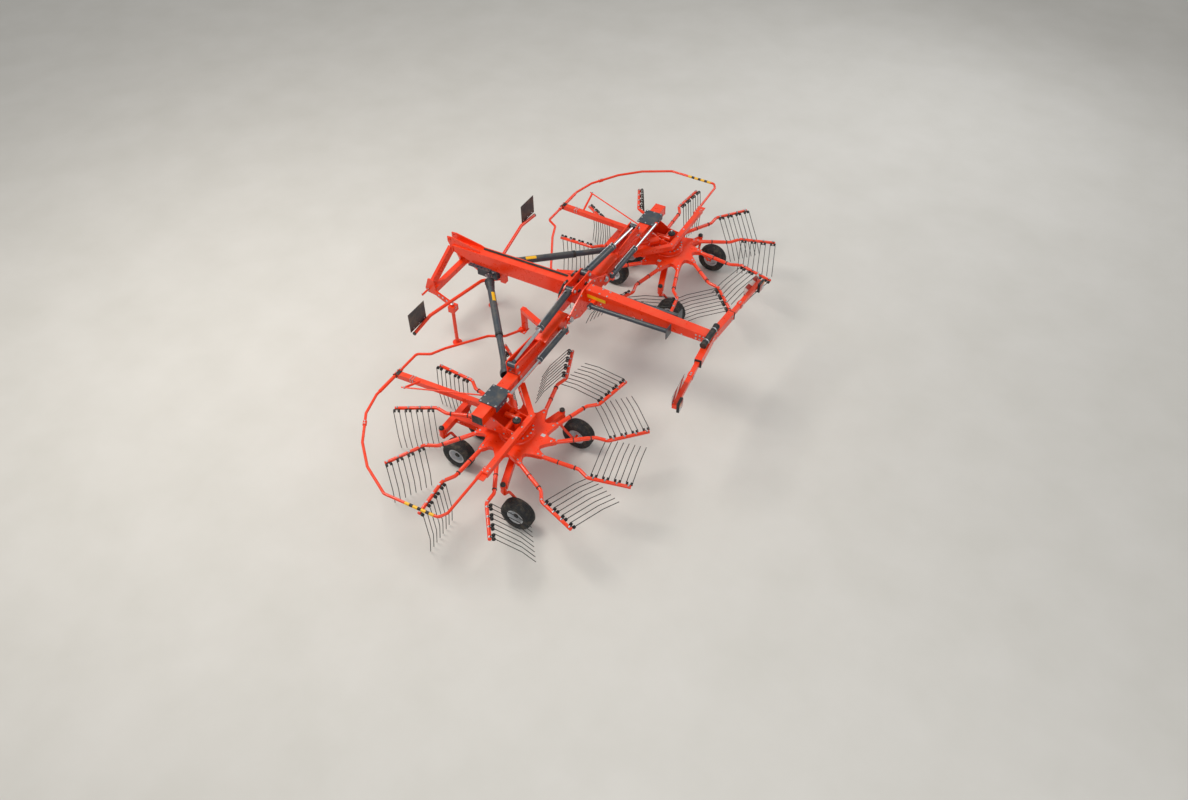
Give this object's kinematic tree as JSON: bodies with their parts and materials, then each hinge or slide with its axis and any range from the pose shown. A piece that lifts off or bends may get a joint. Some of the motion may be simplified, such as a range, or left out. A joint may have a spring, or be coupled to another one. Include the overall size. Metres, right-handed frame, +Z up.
{
  "type": "twin rotor hay rake",
  "caption": "Twin rotor centre-swath hay rake carried on a tractor's three-point linkage, with folding booms, castor undercarriages and parking stands.",
  "frame": {"origin": "middle of the machine's length and width, on the floor", "axes": "+X forward to the tractor, +Y to the left, +Z up"},
  "size_m": [4.1844, 7.262, 1.468],
  "materials": {
    "paint": "gloss",
    "dark_paint": "satin",
    "chrome": "polished",
    "steel": "satin",
    "black": "matte",
    "tine_steel": "satin",
    "board": "satin",
    "tyre": "matte",
    "hose": "matte"
  },
  "bodies": {
    "frame": {"headstock": "paint", "front_beam": "paint", "centre_tower": "paint", "rear_beam": "paint", "light_bar": "paint", "lamps": "black", "marker_boards": "board", "document_tube": "black", "board_tubes": "paint", "gearbox": "dark_paint", "transport_hooks": "black", "beam_hoses": "hose"},
    "front_stand_left": {"front_stand_left": "paint"},
    "rear_stand_left": {"rear_stand_left": "dark_paint"},
    "boom_left": {"boom_left": "paint", "width_barrel_left": "dark_paint"},
    "lift_barrel_left": {"lift_barrel_left": "dark_paint"},
    "lift_rod_left": {"lift_rod_left": "chrome"},
    "slide_left": {"slide_left": "paint", "width_rod_left": "chrome", "cover_left": "dark_paint", "guard_left": "paint", "undercarriage_left": "paint"},
    "rotor_left": {"rotor_left": "paint", "tines_left": "tine_steel"},
    "drive_cross_left": {"drive_cross_left": "steel"},
    "drive_outer_left": {"drive_outer_left": "dark_paint"},
    "drive_inner_left": {"drive_inner_left": "dark_paint"},
    "castor_front_inner_left": {"castor_front_inner_left": "paint"},
    "wheel_front_inner_left": {"wheel_front_inner_left": "tyre"},
    "castor_front_outer_left": {"castor_front_outer_left": "paint"},
    "wheel_front_outer_left": {"wheel_front_outer_left": "tyre"},
    "castor_rear_inner_left": {"castor_rear_inner_left": "paint"},
    "wheel_rear_inner_left": {"wheel_rear_inner_left": "tyre"},
    "castor_rear_outer_left": {"castor_rear_outer_left": "paint"},
    "wheel_rear_outer_left": {"wheel_rear_outer_left": "tyre"},
    "front_stand_right": {"front_stand_right": "paint"},
    "rear_stand_right": {"rear_stand_right": "dark_paint"},
    "boom_right": {"boom_right": "paint", "width_barrel_right": "dark_paint"},
    "lift_barrel_right": {"lift_barrel_right": "dark_paint"},
    "lift_rod_right": {"lift_rod_right": "chrome"},
    "slide_right": {"slide_right": "paint", "width_rod_right": "chrome", "cover_right": "dark_paint", "guard_right": "paint", "undercarriage_right": "paint"},
    "rotor_right": {"rotor_right": "paint", "tines_right": "tine_steel"},
    "drive_cross_right": {"drive_cross_right": "steel"},
    "drive_outer_right": {"drive_outer_right": "dark_paint"},
    "drive_inner_right": {"drive_inner_right": "dark_paint"},
    "castor_front_inner_right": {"castor_front_inner_right": "paint"},
    "wheel_front_inner_right": {"wheel_front_inner_right": "tyre"},
    "castor_front_outer_right": {"castor_front_outer_right": "paint"},
    "wheel_front_outer_right": {"wheel_front_outer_right": "tyre"},
    "castor_rear_inner_right": {"castor_rear_inner_right": "paint"},
    "wheel_rear_inner_right": {"wheel_rear_inner_right": "tyre"},
    "castor_rear_outer_right": {"castor_rear_outer_right": "paint"},
    "wheel_rear_outer_right": {"wheel_rear_outer_right": "tyre"}
  },
  "joints": [
    {"name": "front_stand_slide_left", "type": "slide", "parent": "frame", "child": "front_stand_left", "axis": [0, 0, 1], "range_m": [0, 0.548]},
    {"name": "rear_stand_swing_left", "type": "hinge", "parent": "frame", "child": "rear_stand_left", "pos_m": [-0.33784, 0.16, 1.216], "axis": [0, -1, 0], "range_deg": [0, 90]},
    {"name": "boom_fold_left", "type": "hinge", "parent": "frame", "child": "boom_left", "pos_m": [-0.08484, 0.458, 1.176], "axis": [1, 0, 0], "range_deg": [0, 88]},
    {"name": "boom_slide_left", "type": "slide", "parent": "boom_left", "child": "slide_left", "axis": [0, 1, 0], "range_m": [-0.25, 0.15]},
    {"name": "lift_cylinder_swing_left", "type": "hinge", "parent": "frame", "child": "lift_barrel_left", "pos_m": [-0.06584, 0.191, 1.396], "axis": [1, 0, 0], "range_deg": [-1, 83]},
    {"name": "lift_cylinder_stroke_left", "type": "slide", "parent": "lift_barrel_left", "child": "lift_rod_left", "axis": [0, 0.9944, -0.1058], "range_m": [-0.475, 0.005]},
    {"name": "rotor_spin_left", "type": "hinge", "parent": "slide_left", "child": "rotor_left", "pos_m": [-0.37784, 2.024, 0.666], "axis": [0, 0, 1], "continuous": true},
    {"name": "drive_cross_swing_left", "type": "hinge", "parent": "frame", "child": "drive_cross_left", "pos_m": [1.19216, 0.16, 1.12], "axis": [1, 0, 0], "range_deg": [-1, 72]},
    {"name": "drive_shaft_yaw_left", "type": "hinge", "parent": "drive_cross_left", "child": "drive_outer_left", "pos_m": [1.19216, 0.16, 1.12], "axis": [0, 0, 1], "range_deg": [-4, 6.5]},
    {"name": "drive_shaft_length_left", "type": "slide", "parent": "drive_outer_left", "child": "drive_inner_left", "axis": [-0.6353, 0.7601, -0.1361], "range_m": [-0.19, 0.115]},
    {"name": "castor_front_inner_left_swivel", "type": "hinge", "parent": "slide_left", "child": "castor_front_inner_left", "pos_m": [0.52216, 1.744, 0.49], "axis": [0, 0, 1], "range_deg": [-25, 25]},
    {"name": "wheel_front_inner_left_roll", "type": "hinge", "parent": "castor_front_inner_left", "child": "wheel_front_inner_left", "pos_m": [0.32216, 1.764, 0.203], "axis": [0, 1, 0], "continuous": true},
    {"name": "castor_front_outer_left_swivel", "type": "hinge", "parent": "slide_left", "child": "castor_front_outer_left", "pos_m": [0.52216, 2.304, 0.49], "axis": [0, 0, 1], "range_deg": [-25, 25]},
    {"name": "wheel_front_outer_left_roll", "type": "hinge", "parent": "castor_front_outer_left", "child": "wheel_front_outer_left", "pos_m": [0.32216, 2.284, 0.203], "axis": [0, 1, 0], "continuous": true},
    {"name": "castor_rear_inner_left_swivel", "type": "hinge", "parent": "slide_left", "child": "castor_rear_inner_left", "pos_m": [-0.59984, 1.354, 0.49], "axis": [0, 0, 1], "range_deg": [-25, 25]},
    {"name": "wheel_rear_inner_left_roll", "type": "hinge", "parent": "castor_rear_inner_left", "child": "wheel_rear_inner_left", "pos_m": [-0.79984, 1.314, 0.203], "axis": [0, 1, 0], "continuous": true},
    {"name": "castor_rear_outer_left_swivel", "type": "hinge", "parent": "slide_left", "child": "castor_rear_outer_left", "pos_m": [-0.59984, 2.694, 0.49], "axis": [0, 0, 1], "range_deg": [-25, 25]},
    {"name": "wheel_rear_outer_left_roll", "type": "hinge", "parent": "castor_rear_outer_left", "child": "wheel_rear_outer_left", "pos_m": [-0.79984, 2.734, 0.203], "axis": [0, 1, 0], "continuous": true},
    {"name": "front_stand_slide_right", "type": "slide", "parent": "frame", "child": "front_stand_right", "axis": [0, 0, 1], "range_m": [0, 0.548]},
    {"name": "rear_stand_swing_right", "type": "hinge", "parent": "frame", "child": "rear_stand_right", "pos_m": [-0.33784, -0.16, 1.216], "axis": [0, -1, 0], "range_deg": [0, 90]},
    {"name": "boom_fold_right", "type": "hinge", "parent": "frame", "child": "boom_right", "pos_m": [-0.08484, -0.458, 1.176], "axis": [-1, 0, 0], "range_deg": [0, 88]},
    {"name": "boom_slide_right", "type": "slide", "parent": "boom_right", "child": "slide_right", "axis": [0, -1, 0], "range_m": [-0.25, 0.15]},
    {"name": "lift_cylinder_swing_right", "type": "hinge", "parent": "frame", "child": "lift_barrel_right", "pos_m": [-0.06584, -0.191, 1.396], "axis": [-1, 0, 0], "range_deg": [-1, 83]},
    {"name": "lift_cylinder_stroke_right", "type": "slide", "parent": "lift_barrel_right", "child": "lift_rod_right", "axis": [0, -0.9944, -0.1058], "range_m": [-0.475, 0.005]},
    {"name": "rotor_spin_right", "type": "hinge", "parent": "slide_right", "child": "rotor_right", "pos_m": [-0.37784, -2.024, 0.666], "axis": [0, 0, 1], "continuous": true},
    {"name": "drive_cross_swing_right", "type": "hinge", "parent": "frame", "child": "drive_cross_right", "pos_m": [1.19216, -0.16, 1.12], "axis": [-1, 0, 0], "range_deg": [-1, 72]},
    {"name": "drive_shaft_yaw_right", "type": "hinge", "parent": "drive_cross_right", "child": "drive_outer_right", "pos_m": [1.19216, -0.16, 1.12], "axis": [0, 0, -1], "range_deg": [-4, 6.5]},
    {"name": "drive_shaft_length_right", "type": "slide", "parent": "drive_outer_right", "child": "drive_inner_right", "axis": [-0.6353, -0.7601, -0.1361], "range_m": [-0.19, 0.115]},
    {"name": "castor_front_inner_right_swivel", "type": "hinge", "parent": "slide_right", "child": "castor_front_inner_right", "pos_m": [0.52216, -1.744, 0.49], "axis": [0, 0, 1], "range_deg": [-25, 25]},
    {"name": "wheel_front_inner_right_roll", "type": "hinge", "parent": "castor_front_inner_right", "child": "wheel_front_inner_right", "pos_m": [0.32216, -1.764, 0.203], "axis": [0, 1, 0], "continuous": true},
    {"name": "castor_front_outer_right_swivel", "type": "hinge", "parent": "slide_right", "child": "castor_front_outer_right", "pos_m": [0.52216, -2.304, 0.49], "axis": [0, 0, 1], "range_deg": [-25, 25]},
    {"name": "wheel_front_outer_right_roll", "type": "hinge", "parent": "castor_front_outer_right", "child": "wheel_front_outer_right", "pos_m": [0.32216, -2.284, 0.203], "axis": [0, 1, 0], "continuous": true},
    {"name": "castor_rear_inner_right_swivel", "type": "hinge", "parent": "slide_right", "child": "castor_rear_inner_right", "pos_m": [-0.59984, -1.354, 0.49], "axis": [0, 0, 1], "range_deg": [-25, 25]},
    {"name": "wheel_rear_inner_right_roll", "type": "hinge", "parent": "castor_rear_inner_right", "child": "wheel_rear_inner_right", "pos_m": [-0.79984, -1.314, 0.203], "axis": [0, 1, 0], "continuous": true},
    {"name": "castor_rear_outer_right_swivel", "type": "hinge", "parent": "slide_right", "child": "castor_rear_outer_right", "pos_m": [-0.59984, -2.694, 0.49], "axis": [0, 0, 1], "range_deg": [-25, 25]},
    {"name": "wheel_rear_outer_right_roll", "type": "hinge", "parent": "castor_rear_outer_right", "child": "wheel_rear_outer_right", "pos_m": [-0.79984, -2.734, 0.203], "axis": [0, 1, 0], "continuous": true}
  ],
  "couplings": [
    {"joint": "lift_cylinder_swing_left", "follows": "boom_fold_left", "ratio": 0.9255},
    {"joint": "lift_cylinder_stroke_left", "follows": "boom_fold_left", "m_per_rad": -0.3015},
    {"joint": "drive_cross_swing_left", "follows": "boom_fold_left", "ratio": 0.796},
    {"joint": "drive_shaft_yaw_left", "follows": "boom_slide_left", "rad_per_m": -0.37},
    {"joint": "drive_shaft_length_left", "follows": "boom_slide_left", "ratio": 0.745},
    {"joint": "lift_cylinder_swing_right", "follows": "boom_fold_right", "ratio": 0.9255},
    {"joint": "lift_cylinder_stroke_right", "follows": "boom_fold_right", "m_per_rad": -0.3015},
    {"joint": "drive_cross_swing_right", "follows": "boom_fold_right", "ratio": 0.796},
    {"joint": "drive_shaft_yaw_right", "follows": "boom_slide_right", "rad_per_m": -0.37},
    {"joint": "drive_shaft_length_right", "follows": "boom_slide_right", "ratio": 0.745}
  ]
}
